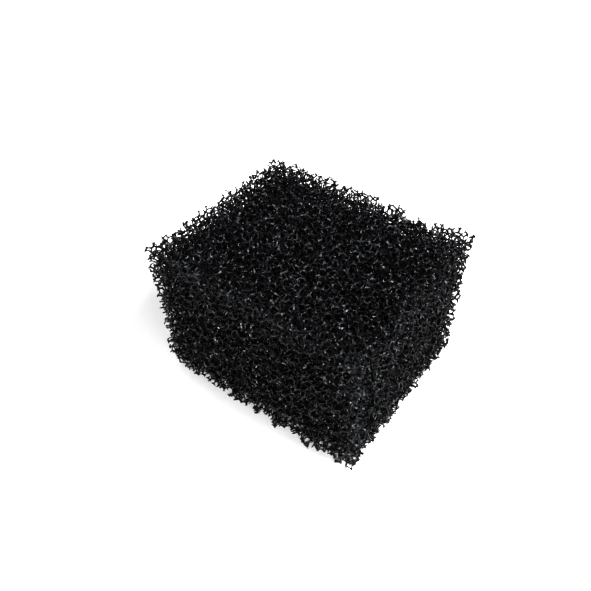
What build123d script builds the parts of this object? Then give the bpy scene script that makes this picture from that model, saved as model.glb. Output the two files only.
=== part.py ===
from build123d import *
import os

# Filter sponge: one block of coarse, black, open-cell polyurethane foam, cut square on all
# six sides, that sits in the water path of a pond or aquarium filter.
# Millimetres. +X along the longest edge, +Z up, origin at the centre of the underside.

block_length = 120.0  # along X
block_width = 100.0  # along Y
block_height = 80.0  # along Z

# A 10 pores-per-inch foam has cells of about 4.6 mm. The knife opens every cell that it
# meets, so along an edge the foam ends about a third of a cell inside the sharp corner.
cell_size = 4.6
edge_radius = cell_size / 3

# The block, as the closed outline that its cells fill.
with BuildPart() as foam_block:
    with BuildSketch(Plane.XY):
        Rectangle(block_length, block_width)
    extrude(amount=block_height)
    fillet(foam_block.edges(), radius=edge_radius)

os.makedirs("parts", exist_ok=True)
foam_block.part.label = "foam_block"
export_step(foam_block.part, "parts/foam_block.step")
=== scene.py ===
import math

import bpy
import numpy as np
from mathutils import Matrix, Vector


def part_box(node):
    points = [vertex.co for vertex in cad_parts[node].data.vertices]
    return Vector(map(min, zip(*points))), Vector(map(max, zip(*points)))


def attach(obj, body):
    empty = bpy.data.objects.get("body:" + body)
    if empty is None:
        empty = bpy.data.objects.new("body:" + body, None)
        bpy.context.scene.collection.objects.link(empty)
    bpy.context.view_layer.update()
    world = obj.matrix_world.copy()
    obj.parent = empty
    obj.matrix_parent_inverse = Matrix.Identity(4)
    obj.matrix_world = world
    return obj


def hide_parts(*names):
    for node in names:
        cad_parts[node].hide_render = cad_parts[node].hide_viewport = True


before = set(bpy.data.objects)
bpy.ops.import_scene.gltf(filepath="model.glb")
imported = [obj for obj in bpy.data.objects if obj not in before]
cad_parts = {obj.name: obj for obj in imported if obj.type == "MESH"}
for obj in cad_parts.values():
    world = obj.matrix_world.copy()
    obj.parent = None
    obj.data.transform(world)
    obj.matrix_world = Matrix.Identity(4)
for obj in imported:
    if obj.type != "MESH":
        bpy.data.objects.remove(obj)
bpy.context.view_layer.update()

# A block of coarse, black, open-cell filter foam on a white table. Metres throughout.
# The foam is made the way foam grows: cells of nearly one size are packed into a space a
# little larger than the block, the walls between them are left out, and the struts where
# three cells meet are kept. The block is then cut out of that net on its six faces.

block_low, block_high = (np.array(corner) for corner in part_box("foam_block"))
block_middle = (block_low + block_high) / 2

# The cells, in the packing that the net comes from.
cell_pitch = 0.0041  # side of the cube that one cell would fill
spare_cells = 1.7  # how many cells the packing goes on past the block
touching = 1.09 * cell_pitch  # two centres any closer than this push each other apart
push_rounds = 7
push_share = 0.42  # of the overlap, that each push takes away
neighbours = 30  # the cells that can share an edge with one cell are among its nearest 30
ease_rounds = 2
ease_share = 0.45  # of the way to the middle of its neighbours, that a node moves each round
# Three centres can share an edge if the circle through them is no wider than this, in
# pitches. Trios in a line count as a triangle with this area, twice over and squared.
widest_circle = 1.05
least_triangle = 1e-4
nothing = 1e-12

# The struts.
strut_radius = 0.00047  # a strut's reach from its axis, where it meets a node
radius_spread = 0.16  # standard deviation of a node's size, as a share of it
radius_limits = (0.6, 1.6)
ridge_reach = 1.22  # a node's ridges, as a share of its radius
waist = 0.74  # a strut's middle, as a share of its ends
waist_spread = 0.10
waist_limits = (0.7, 1.3)
bow = 0.07  # how far a strut's middle strays from its axis, as a share of its length

# The cut faces.
knife_stray = 0.0006  # how far a cut face wanders to either side of the flat one
ripples = 4  # that its wandering is made of
ripple_length = (0.009, 0.031)
proud_share = 0.28  # of the nodes give way to the knife, and end up proud of the cut
proud = 0.0019  # the most that they do
torn_share = 0.36  # of the struts just under a cut face are torn
torn_depth = 0.0034
stump = (0.35, 0.90)  # what is left of a torn strut, as a share of its length
chain = 12  # the most struts in a row by which a node near the face can hang
flush_reach = 2.0  # how far a slanting cut drags a strut's end along, in radii

# Scraps of the walls between cells, in the corners between two struts.
skin_share = 0.08
skin_length = (0.0009, 0.0015)  # how far they run along each strut
skin_half = 0.00008  # half their thickness

fine_depth = 0.005  # how deep under the cuts struts have a waist, a bow and skins
piece_triangles = 185000  # the most that one layer of the net holds
first_seed = 41

# The dye and the gloss of the foam.
deep_dye = (0.0030, 0.0031, 0.0042, 1)
thin_dye = (0.0062, 0.0063, 0.0078, 1)
worn_dye = (0.0140, 0.0140, 0.0162, 1)
patches_per_metre = 38.0
struts_per_metre = 420.0
least_rough = 0.37
worn_rough = 0.14  # how much duller a worn strut is
patch_rough = 0.04
foam_ior = 1.65


# ---------------------------------------------------------------- packing the cells

def points_around(points, side, reach):
    """For each point, the points in the cubes of the given side around its own cube, out
    to reach cubes each way. The table is filled up with -1."""
    cube = np.floor((points - points.min(axis=0)) / side).astype(np.int64) + reach
    shape = cube.max(axis=0) + reach + 1
    number = np.ravel_multi_index(cube.T, shape)
    order = np.argsort(number, kind="stable")
    place = np.arange(len(points)) - np.searchsorted(number[order], number[order])
    table = np.full((shape.prod(), place.max() + 1), -1)
    table[number[order], place] = order
    steps = np.arange(-reach, reach + 1)
    around = np.stack(np.meshgrid(steps, steps, steps, indexing="ij"), axis=-1).reshape(-1, 3)
    jumps = around @ np.array([shape[1] * shape[2], shape[2], 1])
    return table[number[:, None] + jumps].reshape(len(points), -1)


def pack_cells(low, high, rng):
    """Cell centres: one random point in each cube of a grid, then every pair that is closer
    than touching cells would be is pushed apart by a share of its overlap, a few times."""
    counts = np.round((high - low) / cell_pitch).astype(int)
    cubes = np.stack(np.meshgrid(*[np.arange(n) for n in counts], indexing="ij"), axis=-1)
    points = low + (cubes.reshape(-1, 3) + rng.random((counts.prod(), 3))) * cell_pitch
    for _ in range(push_rounds):
        near = points_around(points, touching, 1)
        apart = points[:, None, :] - points[near]
        distance = np.sqrt((apart ** 2).sum(axis=2))
        nobody = (near < 0) | (near == np.arange(len(points))[:, None])
        overlap = np.where(nobody, 0, np.maximum(touching - distance, 0))
        push = apart * (overlap / np.maximum(distance, 1e-9))[:, :, None]
        points = points + push_share * push.sum(axis=1)
    return points


def nearest(points, side, count, batch=3000):
    """The count nearest other points of each point, nearest first."""
    found = np.empty((len(points), count), dtype=np.int64)
    near = points_around(points, side, 2)
    for start in range(0, len(points), batch):
        part = np.arange(start, min(start + batch, len(points)))
        far = ((points[part, None, :] - points[near[part]]) ** 2).sum(axis=2)
        far[(near[part] < 0) | (near[part] == part[:, None])] = np.inf
        some = np.argpartition(far, count, axis=1)[:, :count]
        order = np.argsort(np.take_along_axis(far, some, axis=1), axis=1)
        some = np.take_along_axis(some, order, axis=1)
        found[part] = np.take_along_axis(near[part], some, axis=1)
    return found


def cell_edges(centres, around, batch=1500, slice_size=60000):
    """Every edge where three cells meet. The points as far from three centres as from each
    other lie on a line, and each other centre nearby cuts that line with its midway plane.
    What is left between the cuts is the edge. Gives the three centres of each edge, the
    fourth centre at its two ends, and the two end points."""
    first, second = np.triu_indices(around.shape[1], 1)
    trios, fourths, ends = [], [], []
    for start in range(0, len(centres), batch):
        part = np.arange(start, min(start + batch, len(centres)))
        others = around[part]
        arms = centres[others] - centres[part, None, :]
        # Each trio is found once, from the one of its centres with the lowest number.
        later = others > part[:, None]
        row, choice = np.nonzero(later[:, first] & later[:, second])
        a, b = first[choice], second[choice]
        u, v = arms[row, a], arms[row, b]
        along = np.cross(u, v)
        square = (along * along).sum(axis=1)
        square = np.maximum(square, least_triangle * cell_pitch ** 4)
        # The centre of the circle through the three, seen from the first of them.
        uu, vv = (u * u).sum(axis=1), (v * v).sum(axis=1)
        middle = np.cross(uu[:, None] * v - vv[:, None] * u, along) / (2 * square[:, None])
        close = (middle ** 2).sum(axis=1) < (widest_circle * cell_pitch) ** 2
        row, a, b, middle = row[close], a[close], b[close], middle[close]
        along = along[close] / np.sqrt(square[close])[:, None]
        for some in np.array_split(np.arange(len(row)), max(1, len(row) // slice_size)):
            arm = arms[row[some]]
            slope = np.einsum("tkc,tc->tk", arm, along[some])
            room = (arm * arm).sum(axis=2) / 2 - np.einsum("tkc,tc->tk", arm, middle[some])
            at = np.arange(len(some))
            slope[at, a[some]] = 0
            slope[at, b[some]] = 0
            with np.errstate(divide="ignore", invalid="ignore"):
                cut = room / slope
            upper = np.where(slope > nothing, cut, np.inf)
            lower = np.where(slope < -nothing, cut, -np.inf)
            top, bottom = upper.argmin(axis=1), lower.argmax(axis=1)
            rise, fall = upper[at, top], lower[at, bottom]
            real = (rise > fall) & np.isfinite(rise) & np.isfinite(fall)
            p = some[real]
            mine = others[row[p]]
            at = np.arange(len(p))
            trio = np.stack([part[row[p]], mine[at, a[p]], mine[at, b[p]]], axis=1)
            base = centres[part[row[p]]] + middle[p]
            trios.append(np.sort(trio, axis=1))
            fourths.append(np.stack([mine[at, bottom[real]], mine[at, top[real]]], axis=1))
            ends.append(np.stack([base + along[p] * fall[real, None],
                                  base + along[p] * rise[real, None]], axis=1))
    return np.concatenate(trios), np.concatenate(fourths), np.concatenate(ends)


def join_edges(trios, fourths, ends, total):
    """Edges that end at the same four centres share a node. Gives each node's four centres
    and its place, each strut's two nodes, and its three centres. Struts out at the rim of
    the packing, where a node has fewer than four of them, are left out."""
    four = np.sort(np.concatenate([np.column_stack([trios, fourths[:, 0]]),
                                   np.column_stack([trios, fourths[:, 1]])]), axis=1)
    key = ((four[:, 0] * total + four[:, 1]) * total + four[:, 2]) * total + four[:, 3]
    _, keeper, node, size = np.unique(key, return_index=True, return_inverse=True,
                                      return_counts=True)
    spots = np.concatenate([ends[:, 0], ends[:, 1]])
    place = np.stack([np.bincount(node, weights=spots[:, c]) for c in range(3)], axis=1)
    place /= size[:, None]
    pair = node.reshape(2, -1).T
    kept = (size == 4)[pair].all(axis=1) & (pair[:, 0] != pair[:, 1])
    return four[keeper], place, pair[kept], trios[kept]


def ease(place, pair):
    """Surface tension in the wet foam draws each node towards the middle of the four that
    it is joined to, which evens the struts and opens the angles between them."""
    a, b = pair.T
    joined = np.bincount(pair.ravel(), minlength=len(place)) == 4
    for _ in range(ease_rounds):
        total = np.stack([np.bincount(a, weights=place[b, c], minlength=len(place))
                          + np.bincount(b, weights=place[a, c], minlength=len(place))
                          for c in range(3)], axis=1)
        place = np.where(joined[:, None], place + ease_share * (total / 4 - place), place)
    return place


# ---------------------------------------------------------------- the net and its cuts

# A node has four ports, one for each of its centres: the strut that leaves by a port is the
# one between the other three cells. Its six ridges each run between two ports.
BETWEEN = np.array([(2, 3), (1, 3), (1, 2), (0, 3), (0, 2), (0, 1)])
# The three ridges that the strut at each port carries on, and the three round the face that
# looks into each centre's own cell. Those faces run anticlockwise, seen from their cells, and
# the ridges of ports 0 and 2 do so too, seen from the strut. On a mirrored node, whose four
# centres are the other way round, all of them run clockwise.
PORT = np.array([(3, 4, 5), (1, 2, 5), (0, 2, 4), (0, 1, 3)])
CELL_FACE = np.array([(0, 1, 2), (0, 4, 3), (1, 3, 5), (2, 5, 4)])
# The faces of a scrap of skin: its two sides, then its three edges.
SKIN_SIDES = np.array([(0, 1, 2), (3, 5, 4)])
SKIN_EDGES = np.array([(0, 3, 4, 1), (1, 4, 5, 2), (2, 5, 3, 0)])
# The block's six faces are low x, y and z, then high x, y and z. It stands on this one.
BASE = 2


def unit(vectors):
    """Each vector divided by its length."""
    return vectors / np.maximum(np.linalg.norm(vectors, axis=-1, keepdims=True), nothing)


def across(offsets, along):
    """Each offset less its part along the strut's direction."""
    return offsets - (offsets * along).sum(axis=-1, keepdims=True) * along


def grow_net(rng):
    """The net of the whole packing: each node's place, each strut's two nodes and the port
    that it leaves each of them by, each node's four strut directions, by port, and which
    nodes are mirrored."""
    margin = spare_cells * cell_pitch
    centres = pack_cells(block_low - margin, block_high + margin, rng)
    around = nearest(centres, cell_pitch, neighbours)
    four, place, pair, trio = join_edges(*cell_edges(centres, around), len(centres))
    place = ease(place, pair)
    port = np.stack([(four[pair[:, end], :, None] != trio[:, None, :]).all(axis=2).argmax(axis=1)
                     for end in (0, 1)], axis=1)
    run = unit(place[pair[:, 1]] - place[pair[:, 0]])
    towards = np.zeros((len(place), 4, 3))
    towards[pair[:, 0], port[:, 0]] = run
    towards[pair[:, 1], port[:, 1]] = -run
    mirrored = np.linalg.det(centres[four[:, :3]] - centres[four[:, 3:]]) < 0
    return place, pair, port, towards, mirrored


def depth_below_cuts(place, rng):
    """How deep each node lies below each of the six cut faces. A cut face is the block's flat
    face plus the mean of a few sine ripples of random length and direction, times the knife's
    stray. Nodes that gave way to the knife count as deeper than they are. The base strays
    only inwards, so that the block stands on the table."""
    ways = unit(rng.normal(size=(6, ripples, 3)))
    lengths = rng.uniform(*ripple_length, (6, ripples))
    starts = rng.uniform(0, 2 * math.pi, (6, ripples))
    turns = np.einsum("nc,frc->nfr", place, ways) * (2 * math.pi / lengths) + starts
    stray = knife_stray * np.sin(turns).mean(axis=2)
    gave_way = proud * rng.random(len(place)) * (rng.random(len(place)) < proud_share)
    shift = gave_way[:, None] - stray
    shift[:, BASE] = -abs(stray[:, BASE])
    return np.concatenate([place - block_low, block_high - place], axis=1) + shift


def tear_net(depth, pair, towards, rng):
    """Which nodes stay and which struts are torn. Just under a cut face a share of the struts
    is torn. A node stays if it is under every face, has all four of its struts, and hangs on
    to the deeper nodes by whole ones, which is found by passing the word outwards, one strut
    at a time."""
    least = depth.min(axis=1)
    inside = (least > 0) & towards.any(axis=2).all(axis=1)
    torn = (least[pair].min(axis=1) < torn_depth) & (rng.random(len(pair)) < torn_share)
    links = pair[inside[pair].all(axis=1) & ~torn]
    held = inside & (least > torn_depth)
    for _ in range(chain):
        held[links[held[links].any(axis=1)]] = True
    return inside & held, torn


# ---------------------------------------------------------------- surfaces

class Foam:
    """Vertices and faces in the making. Each face goes with one node of the net, which later
    decides the layer that the face is in."""

    def __init__(self):
        self.spots = []
        self.total = 0
        self.faces = {3: [], 4: []}
        self.nodes = {3: [], 4: []}

    def add_vertices(self, spots):
        """Adds an array of points of any shape, and gives their numbers in that shape."""
        numbers = self.total + np.arange(spots.size // 3).reshape(spots.shape[:-1])
        self.spots.append(spots.reshape(-1, 3))
        self.total += numbers.size
        return numbers

    def add_faces(self, faces, nodes):
        """Adds triangles or quads, and the node that each goes with."""
        corners = faces.shape[-1]
        self.faces[corners].append(faces.reshape(-1, corners))
        self.nodes[corners].append(np.broadcast_to(nodes, faces.shape[:-1]).ravel())

    def add_sleeve(self, near, far, nodes):
        """Adds the three quads between two rings of three points each."""
        turn = [1, 2, 0]
        self.add_faces(np.stack([near, near[:, turn], far[:, turn], far], axis=2), nodes[:, None])


def add_nodes(foam, ridge, mirrored):
    """Each node's six ridge points and four faces, one towards each of its cells. Gives the
    points' numbers."""
    numbers = foam.add_vertices(ridge)
    faces = numbers[:, CELL_FACE]
    faces[mirrored] = faces[mirrored][:, :, ::-1]
    foam.add_faces(faces, np.arange(len(ridge))[:, None])
    return numbers


def add_struts(foam, place, ridge, depth, inside, torn, pair, port, mirrored, number, points,
               rng):
    """A strut is a three-sided sleeve between the ridge points of two nodes. A cut one ends
    where it leaves the block and a torn one sooner, and either is closed with a triangle.
    Gives the ring of points where each whole strut meets its second node, and its nodes."""
    a, b = pair.T
    rows = np.arange(len(pair))
    count = len(pair)
    whole = inside[b] & ~torn
    with np.errstate(divide="ignore", invalid="ignore"):
        leaves = np.where(depth[b] < 0, depth[a] / (depth[a] - depth[b]), 1.0)
    reach = np.where(inside[b], 1.0, leaves.min(axis=1))
    reach[torn] *= rng.uniform(*stump, torn.sum())

    run = place[b] - place[a]
    along = unit(run)
    length = np.linalg.norm(run, axis=1)
    side_a = across(ridge[a[:, None], PORT[port[:, 0]]] - place[a][:, None], along[:, None])
    side_b = across(ridge[b[:, None], PORT[port[:, 1]]] - place[b][:, None], along[:, None])
    narrow = 1 - waist * rng.normal(1.0, waist_spread, count).clip(*waist_limits)
    bend = across(rng.normal(size=(count, 3)), along) * (bow * length)[:, None]

    def ring(share):
        """The strut's three ridges at a share of its length. Both the waist and the bow
        follow a parabola that is nothing at the ends and whole in the middle."""
        belly = 4 * share * (1 - share)
        axis = place[a] + run * share[:, None] + bend * belly[:, None]
        side = side_a * (1 - share)[:, None, None] + side_b * share[:, None, None]
        return axis[:, None] + side * (1 - narrow * belly)[:, None, None]

    # A cut end is flush with the face that cuts it: each ridge runs on along the strut, or
    # stops sooner, until it is level with the strut's axis.
    ending = ring(reach)
    normal = leaves.argmin(axis=1) % 3
    level = (place[a] + run * reach[:, None])[rows, normal]
    with np.errstate(divide="ignore", invalid="ignore"):
        further = (level[:, None] - ending[rows, :, normal]) / along[rows, normal][:, None]
    most = flush_reach * np.linalg.norm(side_a, axis=2).max(axis=1, keepdims=True)
    further = np.nan_to_num(further).clip(-most, most)
    flush = (leaves.min(axis=1) < 1) & ~inside[b] & ~torn
    ending[flush] += (further[:, :, None] * along[:, None])[flush]

    first = points[number[a][:, None], PORT[port[:, 0]]]
    second = points[number[b][:, None], PORT[port[:, 1]]]
    middle = foam.add_vertices(ring(0.5 * reach))
    last = np.where(whole[:, None], second, foam.add_vertices(ending))
    backward = mirrored[a] ^ (port[:, 0] % 2 == 1)
    for rings in (first, second, middle, last):
        rings[backward] = rings[backward, ::-1]

    owner = number[a]
    fine = np.minimum(depth[a].min(axis=1), depth[b].min(axis=1)) < fine_depth
    foam.add_sleeve(first[fine], middle[fine], owner[fine])
    foam.add_sleeve(middle[fine], last[fine], owner[fine])
    foam.add_sleeve(first[~fine], last[~fine], owner[~fine])
    foam.add_faces(last[~whole], owner[~whole])
    # The far node of a torn strut has an open port to close.
    open_port = torn & inside[b]
    foam.add_faces(second[open_port, ::-1], number[b[open_port]])
    return second[whole], owner[whole], number[b[whole]]


def add_skins(foam, place, towards, shallow, rng):
    """Scraps of skin: thin three-cornered webs from a node to a point along each of two of
    its struts, in a share of the corners between the struts of the given nodes."""
    which, corner = np.nonzero(rng.random((len(shallow), len(BETWEEN))) < skin_share)
    node = shallow[which]
    ways = towards[node[:, None], BETWEEN[corner]]
    tips = place[node][:, None] + ways * rng.uniform(*skin_length, (len(node), 2, 1))
    sheet = np.concatenate([place[node][:, None], tips], axis=1)
    half = skin_half * unit(np.cross(ways[:, 0], ways[:, 1]))[:, None]
    numbers = foam.add_vertices(np.concatenate([sheet + half, sheet - half], axis=1))
    foam.add_faces(numbers[:, SKIN_SIDES], node[:, None])
    foam.add_faces(numbers[:, SKIN_EDGES], node[:, None])


def build_foam(rng):
    """The cut block of foam: its vertices, its faces and what holds its layers together."""
    place, pair, port, towards, mirrored = grow_net(rng)
    depth = depth_below_cuts(place, rng)
    inside, torn = tear_net(depth, pair, towards, rng)
    radius = strut_radius * rng.normal(1.0, radius_spread, len(place)).clip(*radius_limits)
    ridge_way = unit(towards[:, BETWEEN[:, 0]] + towards[:, BETWEEN[:, 1]])
    ridge = place[:, None] + ridge_reach * radius[:, None, None] * ridge_way

    # The struts with a node in the block, turned so that it is their first.
    kept = inside[pair].any(axis=1)
    pair, port, torn = pair[kept], port[kept], torn[kept]
    turned = ~inside[pair[:, 0]]
    pair[turned] = pair[turned, ::-1]
    port[turned] = port[turned, ::-1]

    foam = Foam()
    number = np.cumsum(inside) - 1
    points = add_nodes(foam, ridge[inside], mirrored[inside])
    foam.joined, foam.near, foam.far = add_struts(
        foam, place, ridge, depth, inside, torn, pair, port, mirrored, number, points, rng)
    shallow = np.nonzero(depth[inside].min(axis=1) < fine_depth)[0]
    add_skins(foam, place[inside], towards[inside], shallow, rng)
    foam.height = place[inside, 2]
    foam.vertices = np.concatenate(foam.spots)
    foam.vertices[:, 2] = np.maximum(foam.vertices[:, 2], block_low[2])
    return foam


def make_layers(foam):
    """The foam as a stack of pieces with an equal share of its triangles each, from the
    bottom up. A strut is in its first node's layer. Where it runs on into another layer,
    both its end and the port that it would join are closed with a triangle."""
    triangles, quads = np.concatenate(foam.faces[3]), np.concatenate(foam.faces[4])
    triangle_node, quad_node = np.concatenate(foam.nodes[3]), np.concatenate(foam.nodes[4])
    count = len(foam.height)
    weight = (np.bincount(triangle_node, minlength=count)
              + 2 * np.bincount(quad_node, minlength=count))
    layers = math.ceil(weight.sum() / piece_triangles)
    order = np.argsort(foam.height)
    layer = np.empty(count, dtype=int)
    layer[order] = np.minimum(np.cumsum(weight[order]) * layers // weight.sum(), layers - 1)
    near, far = layer[foam.near], layer[foam.far]
    pieces = []
    for each in range(layers):
        sheets = quads[layer[quad_node] == each]
        corners = np.concatenate([triangles[layer[triangle_node] == each],
                                  foam.joined[(near == each) & (far != each)],
                                  foam.joined[(near != each) & (far == each), ::-1]])
        used, loops = np.unique(np.concatenate([sheets.ravel(), corners.ravel()]),
                                return_inverse=True)
        sides = np.repeat([4, 3], [len(sheets), len(corners)])
        mesh = bpy.data.meshes.new(f"foam_layer_{each + 1:02d}")
        mesh.vertices.add(len(used))
        mesh.vertices.foreach_set("co", foam.vertices[used].astype(np.float32).ravel())
        mesh.loops.add(len(loops))
        mesh.loops.foreach_set("vertex_index", loops.astype(np.int32))
        mesh.polygons.add(len(sides))
        mesh.polygons.foreach_set("loop_start", (np.cumsum(sides) - sides).astype(np.int32))
        mesh.polygons.foreach_set("use_smooth", np.zeros(len(sides), dtype=bool))
        mesh.update(calc_edges=True)
        mesh.validate()
        piece = bpy.data.objects.new(mesh.name, mesh)
        bpy.context.scene.collection.objects.link(piece)
        pieces.append(piece)
    return pieces


# ---------------------------------------------------------------- material

class Wire:
    """A shader socket that takes part in plain arithmetic, each step a Math node."""

    def __init__(self, tree, socket=None):
        self.tree = tree
        self.socket = socket

    def node(self, kind, settings, inputs, output=0):
        """A new node: its settings first, then a value or a Wire for each input."""
        node = self.tree.nodes.new(kind)
        for name, value in settings.items():
            setattr(node, name, value)
        for name, value in inputs.items():
            if isinstance(value, Wire):
                self.tree.links.new(value.socket, node.inputs[name])
            else:
                node.inputs[name].default_value = value
        return Wire(self.tree, node.outputs[output])

    def math(self, operation, *values):
        return self.node("ShaderNodeMath", {"operation": operation}, dict(enumerate(values)))

    def __add__(self, other):
        return self.math("ADD", self, other)

    def __mul__(self, other):
        return self.math("MULTIPLY", self, other)

    __radd__ = __add__
    __rmul__ = __mul__

    def smooth(self, low, high):
        """From 0 at low to 1 at high, with eased ends."""
        return self.node("ShaderNodeMapRange", {"interpolation_type": "SMOOTHSTEP"},
                         {"Value": self, "From Min": low, "From Max": high})

    def blend(self, first, second):
        """The first colour where this is 0 and the second where it is 1."""
        return self.node("ShaderNodeMix", {"data_type": "RGBA"}, {0: self, 6: first, 7: second},
                         output=2)

    def into(self, socket):
        self.tree.links.new(self.socket, socket)


def black_foam():
    """Dyed polyurethane: near black and a little blue, deeper or duller from one patch of the
    block to the next and from one strut to the next. Its skin is glossy on some struts and
    worn dull on others."""
    material = bpy.data.materials.new("black_polyurethane_foam")
    material.use_nodes = True
    shader = material.node_tree.nodes["Principled BSDF"]
    wires = Wire(material.node_tree)
    place = wires.node("ShaderNodeTexCoord", {}, {}, output=3)

    def blotches(per_metre):
        return wires.node("ShaderNodeTexNoise", {}, {"Vector": place, "Scale": per_metre})

    patch = blotches(patches_per_metre)
    strut = blotches(struts_per_metre)
    dye = patch.smooth(0.35, 0.65).blend(deep_dye, thin_dye)
    dye = strut.smooth(0.52, 0.72).blend(dye, worn_dye)
    dye.into(shader.inputs["Base Color"])
    rough = least_rough + worn_rough * strut.smooth(0.34, 0.62) + patch_rough * patch
    rough.into(shader.inputs["Roughness"])
    shader.inputs["IOR"].default_value = foam_ior
    return material


layers = make_layers(build_foam(np.random.default_rng(first_seed)))
foam_black = black_foam()
for layer in layers:
    layer.data.materials.append(foam_black)
    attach(layer, "root")
    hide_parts("foam_block")


# ---------------------------------------------------------------- stage

display_gamma = 0.52  # a hard print: the cells go black and the table stays white
table_side = 1.9
table_colour = (0.74, 0.73, 0.71, 1)  # a touch warm, so that cool lamps leave its shadow grey
table_roughness = 0.9
lamp_distance = 1.3
lamp_colour = (0.96, 0.975, 1)
room_light = 0.21  # as strong as it is on the block
room_seen = 1.0  # and as bright as it looks past the edge of the table
camera_azimuth = -53.954
camera_height = 44.612
camera_distance = 0.30736
lens_millimetres = 36.08
sensor_millimetres = 36.0
lens_shift = (-0.02685, 0.01137)

scene = bpy.context.scene
scene.view_settings.view_transform = "Standard"
scene.view_settings.gamma = display_gamma

bpy.ops.mesh.primitive_plane_add(size=table_side, location=(0, 0, block_low[2]))
table = bpy.context.object
table.name = "table"
white = bpy.data.materials.new("white_table")
white.use_nodes = True
white_shader = white.node_tree.nodes["Principled BSDF"]
white_shader.inputs["Base Color"].default_value = table_colour
white_shader.inputs["Roughness"].default_value = table_roughness
table.data.materials.append(white)

room = bpy.data.worlds.new("room")
scene.world = room
room.use_nodes = True
sky = room.node_tree.nodes["Background"]
sky.inputs["Color"].default_value = (*lamp_colour, 1)
seen = Wire(room.node_tree).node("ShaderNodeLightPath", {}, {})
(room_light + (room_seen - room_light) * seen).into(sky.inputs["Strength"])


def direction(azimuth, height):
    """The unit vector towards an azimuth and a height above the table, in degrees."""
    azimuth, height = math.radians(azimuth), math.radians(height)
    return Vector((math.cos(height) * math.cos(azimuth),
                   math.cos(height) * math.sin(azimuth), math.sin(height)))


def face_block(thing, way, distance):
    """Puts a lamp or the camera at a distance from the block's middle, looking at it."""
    scene.collection.objects.link(thing)
    thing.location = Vector(block_middle) + way * distance
    thing.rotation_euler = (-way).to_track_quat("-Z", "Y").to_euler()


def soft_box(name, azimuth, height, wide, light):
    """A round lamp, as wide as given, that lights a wall turned to it by that many watts for
    each square metre."""
    lamp = bpy.data.lights.new(name, "AREA")
    lamp.shape = "DISK"
    lamp.size = wide
    lamp.color = lamp_colour
    lamp.energy = math.pi * light * lamp_distance ** 2
    face_block(bpy.data.objects.new(name, lamp), direction(azimuth, height), lamp_distance)


soft_box("key_lamp", 20, 45, 0.75, 7.2)
soft_box("front_lamp", -80, 30, 0.35, 5.4)
soft_box("left_lamp", 175, 45, 0.60, 0.8)
soft_box("right_lamp", -25, 22, 0.45, 1.25)

lens = bpy.data.cameras.new("camera")
lens.sensor_width = sensor_millimetres
lens.lens = lens_millimetres
lens.shift_x, lens.shift_y = lens_shift
camera = bpy.data.objects.new("camera", lens)
face_block(camera, direction(camera_azimuth, camera_height), camera_distance)
scene.camera = camera
